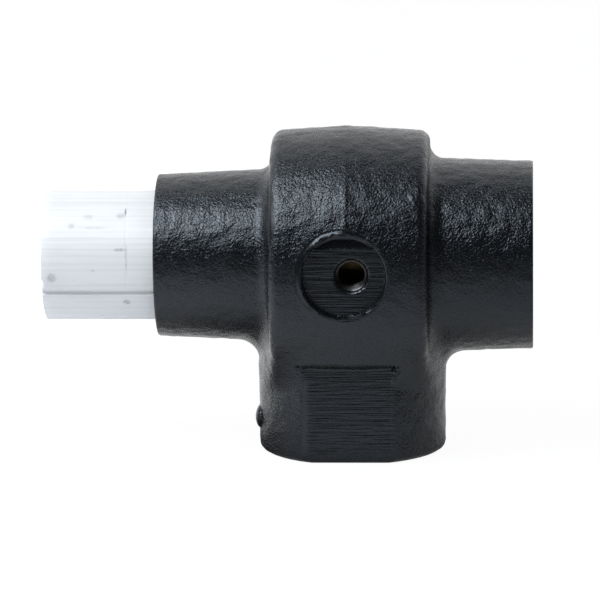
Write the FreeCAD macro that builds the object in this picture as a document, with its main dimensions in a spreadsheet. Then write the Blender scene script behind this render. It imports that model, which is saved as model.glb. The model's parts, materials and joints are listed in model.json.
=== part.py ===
"""Minimum pressure valve for the separator tank of a screw air compressor.

Frame, in millimetres: the origin is the centre of the outlet's mouth, in the plane
of the foot. +X runs along the piston's axis towards the inlet neck, the front with
its gauge port faces -Y, and +Z is up. The compressed air comes in at +X, lifts the
check plug and the piston off the seat against the main spring, and leaves downwards.
"""
import FreeCAD, Part
import math
import os
import re

import Sketcher

# Each row is a driving size: its alias in the sheet, its value, and what it measures.
SIZES = (
    ("axis_height", 76.8, "piston's axis above the foot"),
    ("port_radius", 24.2, "wall of the inlet and outlet threads"),
    ("port_depth", 22.0, "length of those threads"),
    ("port_lead", 1.5, "lead chamfer at the mouth of a port or bore"),
    ("thread_step", 2.7, "thread wall to the plain bore behind it"),
    ("hub_over", 4.9, "drum's side to the round outside of the hub"),
    ("flat_depth", 4.4, "depth of a wrench flat"),
    ("hub_top", 20.0, "piston's axis down to where the hub's stock ends, inside the drum"),
    ("foot_round", 1.5, "rounding of the hub's foot"),
    ("inlet_step", 13.7, "drum's largest radius to the outside of the inlet neck at its face"),
    ("inlet_draft", 1.3, "growth of that neck down to the drum"),
    ("inlet_length", 39.3, "that neck, from the drum's side to its face"),
    ("spring_neck_wall", 6.9, "barrel to the outside of its neck at the end"),
    ("spring_neck_draft", 2.1, "growth of that neck down to the drum"),
    ("spring_neck_length", 44.0, "that neck, from the drum's side to its end"),
    ("drum_radius", 51.0, "drum at its parting line"),
    ("drum_half", 32.0, "half of the drum's width"),
    ("drum_draft", 3.5, "draft of the drum, degrees"),
    ("drum_bevel", 3.0, "broken rims of the drum"),
    ("drum_wall", 8.0, "wall of the drum round the chamber"),
    ("end_wall", 8.0, "drum's side to the chamber"),
    ("chamber_round", 4.0, "broken corner of the chamber"),
    ("cast_round", 4.5, "fillets between hub, drum and necks"),
    ("round_share", 0.65, "largest share of the step at a neck's root that a fillet takes"),
    ("spot_depth", 5.7, "drum's largest radius to the spotface"),
    ("spot_radius", 16.75, "spotface round the gauge port"),
    ("spot_shift", -1.3, "spotface's centre along X"),
    ("gauge_shift", 1.5, "gauge port's centre along X"),
    ("gauge_radius", 6.1, "wall of the gauge thread"),
    ("gauge_lead", 0.7, "lead chamfer of the gauge port"),
    ("gauge_wall", 5.9, "wall of the boss behind the gauge port"),
    ("gauge_depth", 14.3, "length of the gauge port"),
    ("seat_radius", 25.2, "seat ring"),
    ("seat_step", 2.7, "seat ring's flange to its nose"),
    ("seat_nose", 3.0, "width of the seat's nose"),
    ("seat_rise", 3.0, "chamber's end to the seat's face"),
    ("seat_depth", 10.0, "chamber's end to the seat ring's shoulder"),
    ("shoulder_step", 3.7, "width of that shoulder"),
    ("seat_taper", 3.0, "length of the taper from the inlet to the throat"),
    ("seat_seal_inset", 5.0, "seat ring's shoulder to its seal"),
    ("barrel_radius", 25.4, "spring barrel"),
    ("barrel_wall", 3.9, "wall of the barrel round the piston"),
    ("barrel_step", 1.5, "piston's bore to the smaller bore beyond its stop"),
    ("barrel_reach", 2.0, "barrel inside the chamber"),
    ("barrel_out", 44.2, "spring neck's end to the barrel's outer end"),
    ("barrel_edge", 0.8, "edge chamfers of the barrel"),
    ("barrel_seal_inset", 10.0, "barrel's inner end to its seal"),
    ("vent_radius", 1.2, "half width of the vent groove"),
    ("vent_angle", 25.0, "vent groove below the front, degrees"),
    ("vent_inset", 8.0, "barrel's seal to the groove's inner end"),
    ("thin_section", 0.9, "section radius of the static seals"),
    ("seal_groove", 1.2, "half width of a seal's groove over the section radius"),
    ("clip_inset", 7.7, "barrel's outer end to the clip groove"),
    ("clip_thickness", 1.75, "retaining ring"),
    ("clip_groove", 1.2, "depth of the clip groove"),
    ("clip_width", 3.6, "radial width of the retaining ring"),
    ("clip_gap", 9.0, "gap between the clip's ends"),
    ("lug_radius", 2.3, "lug at each end of the clip"),
    ("lug_hole", 1.0, "pliers hole in a lug"),
    ("cap_thickness", 5.0, "spring cap"),
    ("cap_spigot", 4.5, "length of the cap's spigot"),
    ("cap_vent", 4.0, "vent hole in the cap"),
    ("pin_hole", 2.0, "spanner hole in the cap"),
    ("pin_depth", 2.5, "depth of a spanner hole"),
    ("pin_inset", 5.45, "cap's edge to the ring of spanner holes"),
    ("pin_count", 4, "spanner holes"),
    ("shim_thickness", 1.5, "preload shim"),
    ("shim_room", 0.15, "play of the shim on the spigot"),
    ("wire_ratio", 0.5, "wire radius of the main spring over the stem's radius"),
    ("main_coils", 11.0, "turns of the main spring"),
    ("spring_room", 0.5, "play of the main spring in the piston's cup"),
    ("lift", 12.0, "opening stroke of the check plug"),
    ("overrun", 12.0, "how far the piston can stand back from the plug"),
    ("stop_gap", 0.3, "room left at each end stop"),
    ("skirt_inset", 4.0, "barrel's inner end to the front of the piston's skirt"),
    ("skirt_length", 31.7, "piston's skirt"),
    ("skirt_gap", 0.3, "skirt to the barrel's bore"),
    ("cup_web", 8.0, "web between the pocket and the cup"),
    ("pocket_depth", 13.9, "pocket for the check spring, from the piston's nose"),
    ("pocket_room", 1.9, "play of the check spring in its pocket"),
    ("boss_room", 1.5, "main spring to the boss that it goes round"),
    ("boss_ratio", 1.9, "that boss over the stem's radius"),
    ("boss_length", 22.0, "that boss, from the cup's floor"),
    ("bush_ratio", 1.4, "stem bush over the stem's radius"),
    ("bush_cover", 4.0, "cup's floor to the bush's front end"),
    ("washer_thickness", 1.5, "spring seat washer"),
    ("piston_seal_place", 15.2, "skirt's front to the piston's seal"),
    ("piston_seal_section", 1.5, "section radius of the piston's seal"),
    ("rear_guide_place", 26.0, "skirt's front to the rear guide ring"),
    ("front_guide_place", 5.0, "skirt's front to the front guide ring"),
    ("guide_width", 5.0, "width of the guide rings"),
    ("guide_thickness", 2.0, "barrel's bore to the inside of a guide ring"),
    ("stem_ratio", 5.08, "barrel's radius over that of the plug's stem"),
    ("plug_plate", 9.0, "thickness of the plug's plate"),
    ("plug_skirt_wall", 3.0, "least wall of the plug's skirt"),
    ("nose_step", 1.0, "barrel's bore to the piston's nose"),
    ("plug_boss", 8.0, "length of the boss inside the check spring"),
    ("nose_gap", 0.5, "piston's nose to the plug's skirt"),
    ("stem_out", 8.0, "stem beyond the piston's boss"),
    ("seal_width", 10.0, "width of the seat seal's ring"),
    ("seal_thickness", 3.9, "seat seal"),
    ("seal_over", 1.0, "seat's nose to the rim of the seat seal"),
    ("seal_inset", 0.5, "seat seal to the least radius of the plug"),
    ("retainer_cover", 4.0, "how far the retainer covers the seal"),
    ("retainer_thickness", 3.0, "seal retainer"),
    ("check_wire", 0.6, "wire radius of the check spring"),
    ("plug_boss_step", 2.0, "stem to the boss inside the check spring"),
    ("check_room", 0.9, "play of the check spring on its boss"),
    ("check_coils", 4.5, "turns of the check spring"),
    ("screw_radius", 4.0, "retainer screw"),
    ("screw_depth", 16.0, "depth of its tapped hole, from the plate's front"),
    ("screw_head_wall", 2.5, "screw's thread to the rim of its head"),
    ("screw_head", 8.0, "height of its head"),
    ("key_size", 6.0, "hexagon socket, across flats"),
    ("key_depth", 4.0, "hexagon socket"),
    ("lock_cover", 0.4, "screw's head to the lock washer's rim"),
    ("lock_thickness", 1.6, "lock washer"),
    ("press_gap", 0.02, "round fits of pieces that stay together"),
    ("running_gap", 0.05, "round fits of pieces that slide"),
    ("free_gap", 0.3, "round gaps that nothing guides"),
    ("face_gap", 0.1, "flat gaps between pieces that only just meet"),
    ("edge_chamfer", 0.5, "broken edges of the turned pieces"),
    ("cut_over", 1.0, "how far a cutting shape goes beyond a face"),
)

# Sizes and places that follow from the driving ones. Those called rear, end or place on the
# spring's side of the hub are counted away from the hub's axis, so they're used with a minus.
RULES = {
    "hub_radius": "drum_half + hub_over",
    "flat_half": "hub_radius - flat_depth",
    "passage_radius": "min(port_radius - thread_step; seat_radius - shoulder_step)",
    "inlet_radius": "drum_radius - inlet_step",
    "inlet_root": "inlet_radius + inlet_draft",
    "inlet_face": "drum_half + inlet_length",
    "inlet_thread": "inlet_face - port_depth",
    "spring_neck_radius": "barrel_radius + spring_neck_wall",
    "spring_neck_root": "spring_neck_radius + spring_neck_draft",
    "spring_neck_end": "drum_half + spring_neck_length",
    "spring_neck_bore": "barrel_radius + running_gap",
    "drum_shoulder": "drum_half - drum_bevel",
    "drum_slope": "tan(drum_draft * 1 deg)",
    "drum_rim": "drum_radius - drum_half * drum_slope - drum_bevel",
    "root_step": "drum_rim - max(inlet_root; spring_neck_root)",
    "root_round": "min(cast_round; round_share * root_step)",
    "chamber_radius": "drum_radius - drum_wall",
    "chamber_half": "drum_half - end_wall",
    "spot_face": "drum_radius - spot_depth",
    "gauge_boss_radius": "gauge_radius + gauge_wall",
    "seat_bore": "seat_radius + press_gap",
    "seat_nose_radius": "seat_radius - seat_step",
    "seat_throat": "seat_nose_radius - seat_nose",
    "seat_face": "chamber_half - seat_rise",
    "seat_shoulder": "chamber_half + seat_depth",
    "seat_seal_place": "seat_shoulder - seat_seal_inset",
    "barrel_bore": "barrel_radius - barrel_wall",
    "barrel_outer_bore": "barrel_bore - barrel_step",
    "barrel_inner_end": "chamber_half - barrel_reach",
    "barrel_outer_end": "spring_neck_end + barrel_out",
    "barrel_seal_place": "barrel_inner_end + barrel_seal_inset",
    "vent_inner_end": "barrel_seal_place + vent_inset",
    "seal_front": "seat_face - face_gap",
    "plug_front": "seal_front - seal_thickness",
    "plug_back": "plug_front - plug_plate",
    "plug_skirt_bore": "nose_radius + nose_gap",
    "plug_radius": "max(seal_radius + seal_inset; plug_skirt_bore + plug_skirt_wall)",
    "plug_skirt_end": "lift + stop_gap - barrel_inner_end",
    "plug_boss_radius": "stem_radius + plug_boss_step",
    "check_mean": "plug_boss_radius + check_room + check_wire",
    "plug_boss_end": "plug_back - plug_boss",
    "seal_radius": "seat_nose_radius + seal_over",
    "pilot_radius": "seal_radius - seal_width",
    "retainer_radius": "pilot_radius + retainer_cover",
    "retainer_front": "seal_front + retainer_thickness",
    "lock_front": "retainer_front + lock_thickness",
    "lock_radius": "screw_head_radius + lock_cover",
    "screw_head_radius": "screw_radius + screw_head_wall",
    "screw_head_front": "lock_front + screw_head",
    "screw_hole": "screw_radius + press_gap",
    "screw_hole_end": "plug_front - screw_depth",
    "nose_radius": "barrel_bore - nose_step",
    "nose_front": "plug_back - face_gap",
    "pocket_radius": "check_mean + check_wire + pocket_room",
    "pocket_floor": "pocket_depth - nose_front",
    "cup_floor": "pocket_floor + cup_web",
    "cup_seat": "cup_floor + washer_thickness",
    "skirt_radius": "barrel_bore - skirt_gap",
    "skirt_front": "barrel_inner_end + skirt_inset",
    "cup_radius": "main_mean + main_wire + spring_room",
    "piston_rear": "skirt_front + skirt_length",
    "stop_place": "piston_rear + lift + overrun + stop_gap",
    "stem_radius": "barrel_radius / stem_ratio",
    "main_wire": "stem_radius * wire_ratio",
    "boss_radius": "stem_radius * boss_ratio",
    "main_mean": "boss_radius + boss_room + main_wire",
    "boss_end": "cup_floor + boss_length",
    "bush_radius": "stem_radius * bush_ratio",
    "bush_front": "cup_floor - bush_cover",
    "stem_end": "boss_end + stem_out",
    "clip_place": "barrel_outer_end - clip_inset",
    "clip_front": "clip_place - clip_thickness",
    "clip_rim": "barrel_outer_bore + clip_groove - press_gap",
    "clip_hole": "clip_rim - clip_width",
    "cap_radius": "barrel_outer_bore - running_gap",
    "cap_front": "clip_front - cap_thickness",
    "spigot_radius": "main_mean - main_wire - free_gap",
    "spigot_front": "cap_front - cap_spigot",
    "shim_front": "cap_front - shim_thickness",
}
ALIASES = {row[0] for row in SIZES}

# Two places closer than this, in mm, count as one when edges are picked.
TOUCH = 0.01
# Radius of the ring of points from which a sketch's constraints start.
START_RING = 10.0
# Turns of a shape that bring its own Z axis onto X, and onto minus Y.
ALONG_X = FreeCAD.Rotation(FreeCAD.Vector(0, 1, 0), 90)
ALONG_MINUS_Y = FreeCAD.Rotation(FreeCAD.Vector(1, 0, 0), 90)


def s(text):
    """An expression for the model: names of sizes become cells, and rules are written out."""
    def spell(word):
        name = word.group()
        if name in RULES:
            return "(" + s(RULES[name]) + ")"
        return "Sizes." + name if name in ALIASES else name
    return re.sub(r"[a-z_]+", spell, text)


def number(doc, text):
    """The present value of an expression."""
    return float(doc.Sizes.evalExpression(s(text)))


def make_sheet(doc):
    """The driving sizes, one row each: name, value and meaning."""
    sheet = doc.addObject("Spreadsheet::Sheet", "Sizes")
    for row, (name, value, meaning) in enumerate(SIZES, start=1):
        sheet.set("A{}".format(row), name)
        sheet.set("B{}".format(row), str(value))
        sheet.set("C{}".format(row), meaning)
        sheet.setAlias("B{}".format(row), name)
    doc.recompute()


def make_body(doc, name):
    """An empty body whose own X axis is the piston's axis."""
    body = doc.addObject("PartDesign::Body", name + "_body")
    body.Label = name
    body.setExpression("Placement.Base.z", s("axis_height"))
    return body


def add_sketch(body, name, plane, offset=None):
    """A sketch on one of the body's origin planes, moved along its normal by offset."""
    sketch = body.newObject("Sketcher::SketchObject", name)
    support = [item for item in body.Origin.OriginFeatures if item.Role == plane][0]
    sketch.AttachmentSupport = [(support, "")]
    sketch.MapMode = "FlatFace"
    if offset:
        sketch.setExpression("AttachmentOffset.Base.z", s(offset))
    return sketch


def bind(sketch, constraint, expression):
    """Add a constraint and tie its value to an expression."""
    index = sketch.addConstraint(constraint)
    sketch.setExpression("Constraints[{}]".format(index), s(expression))


def add_outline(sketch, points):
    """A closed outline of straight lines through points given as pairs of expressions."""
    first = sketch.GeometryCount
    count = len(points)
    turns = [math.tau * i / count for i in range(count)]
    start = [FreeCAD.Vector(START_RING * math.cos(turn), START_RING * math.sin(turn), 0)
             for turn in turns]
    for i in range(count):
        sketch.addGeometry(Part.LineSegment(start[i], start[(i + 1) % count]))
    for i in range(count):
        following = first + (i + 1) % count
        sketch.addConstraint(Sketcher.Constraint("Coincident", first + i, 2, following, 1))
    for i, (across, up) in enumerate(points):
        bind(sketch, Sketcher.Constraint("DistanceX", -1, 1, first + i, 1, start[i].x), across)
        bind(sketch, Sketcher.Constraint("DistanceY", -1, 1, first + i, 1, start[i].y), up)


def add_circle(sketch, across, up, radius):
    """A circle whose centre and radius are expressions."""
    start = Part.Circle(FreeCAD.Vector(START_RING, START_RING, 0), FreeCAD.Vector(0, 0, 1), START_RING)
    index = sketch.addGeometry(start)
    bind(sketch, Sketcher.Constraint("DistanceX", -1, 1, index, 3, START_RING), across)
    bind(sketch, Sketcher.Constraint("DistanceY", -1, 1, index, 3, START_RING), up)
    bind(sketch, Sketcher.Constraint("Radius", index, START_RING), radius)


def spin(body, name, points, kind="Revolution", axis="H_Axis"):
    """Turn an outline in the XZ plane about the sketch's axis: added, or cut as a Groove."""
    sketch = add_sketch(body, name + "_sketch", "XZ_Plane")
    add_outline(sketch, points)
    feature = body.newObject("PartDesign::" + kind, name)
    feature.Profile = sketch
    feature.ReferenceAxis = (sketch, [axis])
    feature.Angle = 360
    return feature


def turned(doc, name, points):
    """A body turned about the piston's axis: points are pairs (place along X, radius)."""
    body = make_body(doc, name)
    spin(body, name + "_turning", points)
    return body


def sleeve(doc, name, left, right, inner, outer):
    """A plain ring between two places along the piston's axis."""
    return turned(doc, name, ((left, inner), (right, inner), (right, outer), (left, outer)))


def pocket(body, name, sketch, length):
    """A cut from a sketch, against its normal."""
    cut = body.newObject("PartDesign::Pocket", name)
    cut.Profile = sketch
    cut.setExpression("Length", s(length))
    return cut


def pick_edges(feature, wanted):
    """Names of the feature's edges for which wanted(edge) is true."""
    return ["Edge{}".format(i) for i, edge in enumerate(feature.Shape.Edges, start=1) if wanted(edge)]


def dress(body, kind, name, base, edges, size_name, size):
    """A Fillet or Chamfer on the named edges of base."""
    feature = body.newObject("PartDesign::" + kind, name)
    feature.Base = (base, edges)
    feature.setExpression(size_name, s(size))
    return feature


def round_seal(doc, name, place, mean, section):
    """An O-ring round the piston's axis."""
    ring = doc.addObject("Part::Torus", name + "_torus")
    ring.Label = name
    ring.Placement = FreeCAD.Placement(FreeCAD.Vector(), ALONG_X)
    ring.setExpression("Radius1", s(mean))
    ring.setExpression("Radius2", s(section))
    ring.setExpression("Placement.Base.x", s(place))
    ring.setExpression("Placement.Base.z", s("axis_height"))


def coil_spring(doc, name, left, right, mean, wire, coils):
    """A coil spring whose wire just touches the planes left and right."""
    height = "({} - ({}) - 2 * {})".format(right, left, wire)
    path = doc.addObject("Part::Helix", name + "_path")
    path.setExpression("Radius", s(mean))
    path.setExpression("Height", s(height))
    path.setExpression("Pitch", s(height + " / " + coils))
    section = doc.addObject("Part::Circle", name + "_section")
    section.Placement = FreeCAD.Placement(FreeCAD.Vector(), ALONG_MINUS_Y)
    section.setExpression("Radius", s(wire))
    section.setExpression("Placement.Base.x", s(mean))
    spring = doc.addObject("Part::Sweep", name + "_sweep")
    spring.Label = name
    spring.Sections = [section]
    spring.Spine = (path, ["Edge1"])
    spring.Solid = True
    spring.Frenet = True
    spring.Placement = FreeCAD.Placement(FreeCAD.Vector(), ALONG_X)
    spring.setExpression("Placement.Base.x", s(left + " + " + wire))
    spring.setExpression("Placement.Base.z", s("axis_height"))


def add_hub(body):
    """The outlet hub: a round post with two wrench flats and a rounded foot."""
    spin(body, "hub", (
        ("0", "-axis_height"),
        ("hub_radius", "-axis_height"),
        ("hub_radius", "-hub_top"),
        ("0", "-hub_top")), axis="V_Axis")
    sketch = add_sketch(body, "flats_sketch", "YZ_Plane")
    for sign in ("", "-"):
        near = sign + "flat_half"
        far = sign + "(hub_radius + cut_over)"
        add_outline(sketch, ((near, "-axis_height - cut_over"), (far, "-axis_height - cut_over"),
                             (far, "cut_over"), (near, "cut_over")))
    flats = pocket(body, "flats", sketch, "2 * (hub_radius + cut_over)")
    flats.Midplane = True
    body.Document.recompute()
    foot = -number(body.Document, "axis_height")
    edges = pick_edges(flats, lambda edge: edge.BoundBox.ZMax < foot + TOUCH)
    dress(body, "Fillet", "foot_rounding", flats, edges, "Radius", "foot_round")


def root_test(shape, doc):
    """A test for the edges that the cast fillets follow: round the hub, and at each neck's root."""
    hub_radius = number(doc, "hub_radius")
    above_foot = number(doc, "foot_round - axis_height") + TOUCH
    roots = (number(doc, "spring_neck_root"), number(doc, "inlet_root"))

    def on_hub(face):
        surface = face.Surface
        if surface.TypeId == "Part::GeomCylinder":
            return abs(surface.Axis.z) > 0.9 and abs(surface.Radius - hub_radius) < TOUCH
        return surface.TypeId == "Part::GeomPlane" and abs(surface.Axis.y) > 0.9

    def wanted(edge):
        curve = edge.Curve
        if curve.TypeId == "Part::GeomCircle" and abs(curve.Axis.x) > 0.9:
            return min(abs(curve.Radius - root) for root in roots) < TOUCH
        sides = [on_hub(face) for face in shape.ancestorsOfType(edge, Part.Face)]
        return len(sides) == 2 and sides[0] != sides[1] and edge.BoundBox.ZMin > above_foot
    return wanted


def add_outside(body):
    """The drum with its draft and the two necks, blended into the hub."""
    outside = spin(body, "drum_and_necks", (
        ("-spring_neck_end", "0"),
        ("-spring_neck_end", "spring_neck_radius"),
        ("-drum_half", "spring_neck_root"),
        ("-drum_half", "drum_rim"),
        ("-drum_shoulder", "drum_radius - drum_shoulder * drum_slope"),
        ("0", "drum_radius"),
        ("drum_shoulder", "drum_radius - drum_shoulder * drum_slope"),
        ("drum_half", "drum_rim"),
        ("drum_half", "inlet_root"),
        ("inlet_face", "inlet_radius"),
        ("inlet_face", "0")))
    body.Document.recompute()
    edges = pick_edges(outside, root_test(outside.Shape, body.Document))
    dress(body, "Fillet", "cast_rounding", outside, edges, "Radius", "root_round")


def bore_along_piston(body):
    """Everything turned about the piston's axis: neck bore, chamber, seat bore and inlet."""
    spin(body, "chamber_and_bores", (
        ("-spring_neck_end", "0"),
        ("-spring_neck_end", "spring_neck_bore + port_lead"),
        ("port_lead - spring_neck_end", "spring_neck_bore"),
        ("-chamber_half", "spring_neck_bore"),
        ("-chamber_half", "chamber_radius - chamber_round"),
        ("chamber_round - chamber_half", "chamber_radius"),
        ("chamber_half - chamber_round", "chamber_radius"),
        ("chamber_half", "chamber_radius - chamber_round"),
        ("chamber_half", "seat_bore"),
        ("seat_shoulder", "seat_bore"),
        ("seat_shoulder", "passage_radius"),
        ("inlet_thread", "passage_radius"),
        ("inlet_thread", "port_radius"),
        ("inlet_face - port_lead", "port_radius"),
        ("inlet_face", "port_radius + port_lead"),
        ("inlet_face", "0")), kind="Groove")


def bore_outlet(body):
    """The outlet up the hub's axis, open into the chamber."""
    spin(body, "outlet_bore", (
        ("0", "-axis_height"),
        ("port_radius + port_lead", "-axis_height"),
        ("port_radius", "port_lead - axis_height"),
        ("port_radius", "port_depth - axis_height"),
        ("passage_radius", "port_depth - axis_height"),
        ("passage_radius", "-passage_radius"),
        ("0", "-passage_radius")), kind="Groove", axis="V_Axis")


def add_gauge_port(body):
    """The boss behind the gauge port, its spotface on the drum's front, and its hole."""
    sketch = add_sketch(body, "gauge_boss_sketch", "XZ_Plane", "spot_face - gauge_depth")
    add_circle(sketch, "gauge_shift", "0", "gauge_boss_radius")
    boss = body.newObject("PartDesign::Pad", "gauge_boss")
    boss.Profile = sketch
    boss.setExpression("Length", s("gauge_depth - gauge_lead"))
    sketch = add_sketch(body, "gauge_spot_sketch", "XZ_Plane", "spot_face")
    add_circle(sketch, "spot_shift", "0", "spot_radius")
    spot = pocket(body, "gauge_spotface", sketch, "spot_depth + cut_over")
    spot.Reversed = True
    sketch = add_sketch(body, "gauge_hole_sketch", "XZ_Plane", "spot_face")
    add_circle(sketch, "gauge_shift", "0", "gauge_radius")
    hole = pocket(body, "gauge_hole", sketch, "gauge_depth + cut_over")
    body.Document.recompute()
    face_y = -number(body.Document, "spot_face")
    width = number(body.Document, "2 * gauge_radius")

    def at_mouth(edge):
        box = edge.BoundBox
        return max(abs(box.YMin - face_y), abs(box.YMax - face_y), abs(box.XLength - width)) < TOUCH
    dress(body, "Chamfer", "gauge_mouth", hole, pick_edges(hole, at_mouth), "Size", "gauge_lead")


def make_valve_body(doc):
    """The casting: drum, two necks, outlet hub with flats, chamber, ports and gauge spotface."""
    body = make_body(doc, "valve_body")
    add_hub(body)
    add_outside(body)
    bore_along_piston(body)
    bore_outlet(body)
    add_gauge_port(body)


def groove(place, half, edge, floor):
    """Points that take an outline down to a groove's floor and back up to its edge."""
    left = "{} - ({})".format(place, half)
    right = "{} + ({})".format(place, half)
    return (left, edge), (left, floor), (right, floor), (right, edge)


def make_seat_ring(doc):
    """The stainless seat, pressed into the casting against its shoulder, and its seal."""
    turned(doc, "seat_ring", (
        ("seat_face", "seat_throat + edge_chamfer"),
        ("seat_face", "seat_nose_radius - edge_chamfer"),
        ("seat_face + edge_chamfer", "seat_nose_radius"),
        ("chamber_half + face_gap", "seat_nose_radius"),
        ("chamber_half + face_gap", "seat_radius"),
        *groove("seat_seal_place", "seal_groove * thin_section", "seat_radius",
                "seat_radius - 2 * thin_section"),
        ("seat_shoulder", "seat_radius"),
        ("seat_shoulder", "passage_radius"),
        ("seat_shoulder - seat_taper", "seat_throat"),
        ("seat_face + edge_chamfer", "seat_throat")))
    round_seal(doc, "seat_o_ring", "seat_seal_place", "seat_radius - thin_section", "thin_section")


def make_spring_barrel(doc):
    """The bare aluminium barrel that holds the spring, with its seal and its vent groove."""
    body = turned(doc, "spring_barrel", (
        ("-barrel_outer_end", "barrel_outer_bore + barrel_edge"),
        ("-barrel_outer_end", "barrel_radius - barrel_edge"),
        ("barrel_edge - barrel_outer_end", "barrel_radius"),
        *groove("-barrel_seal_place", "seal_groove * thin_section", "barrel_radius",
                "barrel_radius - 2 * thin_section"),
        ("-barrel_inner_end - barrel_edge", "barrel_radius"),
        ("-barrel_inner_end", "barrel_radius - barrel_edge"),
        ("-barrel_inner_end", "barrel_bore + barrel_edge"),
        ("-barrel_inner_end - barrel_edge", "barrel_bore"),
        ("-stop_place", "barrel_bore"),
        ("-stop_place", "barrel_outer_bore"),
        ("face_gap - clip_front", "barrel_outer_bore"),
        ("face_gap - clip_front", "barrel_outer_bore + clip_groove"),
        ("-clip_place", "barrel_outer_bore + clip_groove"),
        ("-clip_place", "barrel_outer_bore"),
        ("barrel_edge - barrel_outer_end", "barrel_outer_bore")))
    sketch = add_sketch(body, "vent_sketch", "YZ_Plane", "-vent_inner_end")
    add_circle(sketch, "-barrel_radius * cos(vent_angle * 1 deg)",
               "-barrel_radius * sin(vent_angle * 1 deg)", "vent_radius")
    pocket(body, "vent_groove", sketch, "barrel_outer_end - vent_inner_end + cut_over")
    round_seal(doc, "barrel_o_ring", "-barrel_seal_place", "barrel_radius - thin_section",
               "thin_section")


def clip_cylinder(doc, name, radius, across="0", up="0"):
    """A cylinder as thick as the clip, placed in its groove."""
    item = doc.addObject("Part::Cylinder", name)
    item.Placement = FreeCAD.Placement(FreeCAD.Vector(), ALONG_X)
    item.setExpression("Radius", s(radius))
    item.setExpression("Height", s("clip_thickness"))
    item.setExpression("Placement.Base.x", s("-clip_place"))
    item.setExpression("Placement.Base.y", s(across))
    item.setExpression("Placement.Base.z", s("axis_height + " + up))
    return item


def make_retaining_ring(doc):
    """The circlip that holds the spring cap: a split ring with two drilled lugs."""
    gap = doc.addObject("Part::Box", "clip_gap_box")
    gap.setExpression("Length", s("clip_thickness"))
    gap.setExpression("Width", s("clip_gap"))
    gap.setExpression("Height", s("clip_rim"))
    gap.setExpression("Placement.Base.x", s("-clip_place"))
    gap.setExpression("Placement.Base.y", s("-clip_gap / 2"))
    gap.setExpression("Placement.Base.z", s("axis_height"))
    lugs = []
    holes = []
    for side in ("-", ""):
        across = side + "(clip_gap / 2 + lug_radius)"
        up = "clip_hole - lug_radius / 2"
        lugs.append(clip_cylinder(doc, "clip_lug", "lug_radius", across, up))
        holes.append(clip_cylinder(doc, "clip_lug_hole", "lug_hole", across, up))
    ring = doc.addObject("Part::Cut", "clip_ring")
    ring.Base = clip_cylinder(doc, "clip_outline", "clip_rim")
    ring.Tool = clip_cylinder(doc, "clip_middle", "clip_hole")
    with_lugs = doc.addObject("Part::MultiFuse", "clip_with_lugs")
    with_lugs.Shapes = [ring] + lugs
    tools = doc.addObject("Part::MultiFuse", "clip_tools")
    tools.Shapes = [gap] + holes
    clip = doc.addObject("Part::Cut", "clip")
    clip.Label = "retaining_ring"
    clip.Base = with_lugs
    clip.Tool = tools


def make_spring_cap(doc):
    """The cap that the main spring pushes against, with its shim."""
    body = turned(doc, "spring_cap", (
        ("-clip_front", "cap_vent"),
        ("-clip_front", "cap_radius - edge_chamfer"),
        ("edge_chamfer - clip_front", "cap_radius"),
        ("-cap_front", "cap_radius"),
        ("-cap_front", "spigot_radius"),
        ("-spigot_front - edge_chamfer", "spigot_radius"),
        ("-spigot_front", "spigot_radius - edge_chamfer"),
        ("-spigot_front", "cap_vent")))
    sketch = add_sketch(body, "pin_hole_sketch", "YZ_Plane", "-clip_front")
    add_circle(sketch, "cap_radius - pin_inset", "0", "pin_hole")
    first_hole = pocket(body, "pin_hole", sketch, "pin_depth")
    first_hole.Reversed = True
    holes = body.newObject("PartDesign::PolarPattern", "pin_holes")
    holes.Originals = [first_hole]
    holes.Axis = (sketch, ["N_Axis"])
    holes.Angle = 360
    holes.setExpression("Occurrences", s("pin_count"))
    body.Tip = holes
    sleeve(doc, "preload_shim", "-cap_front", "-shim_front", "spigot_radius + shim_room",
           "main_mean + main_wire")


def make_springs(doc):
    """The main spring with the washer under it, and the light spring that shuts the plug."""
    coil_spring(doc, "main_spring", "-shim_front", "-cup_seat", "main_mean", "main_wire", "main_coils")
    coil_spring(doc, "check_spring", "-pocket_floor", "plug_back", "check_mean", "check_wire",
                "check_coils")
    sleeve(doc, "spring_seat_washer", "-cup_seat", "-cup_floor", "boss_radius + free_gap",
           "cup_radius - free_gap")


def make_guide_ring(doc, name, place):
    """A plastic ring on which the piston slides, with its outer edges broken."""
    left = "-skirt_front - {} - guide_width / 2".format(place)
    right = "-skirt_front - {} + guide_width / 2".format(place)
    outer = "barrel_bore - running_gap"
    inner = "barrel_bore - guide_thickness"
    turned(doc, name, (
        (left, inner),
        (right, inner),
        (right, outer + " - edge_chamfer"),
        (right + " - edge_chamfer", outer),
        (left + " + edge_chamfer", outer),
        (left, outer + " - edge_chamfer")))


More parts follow.
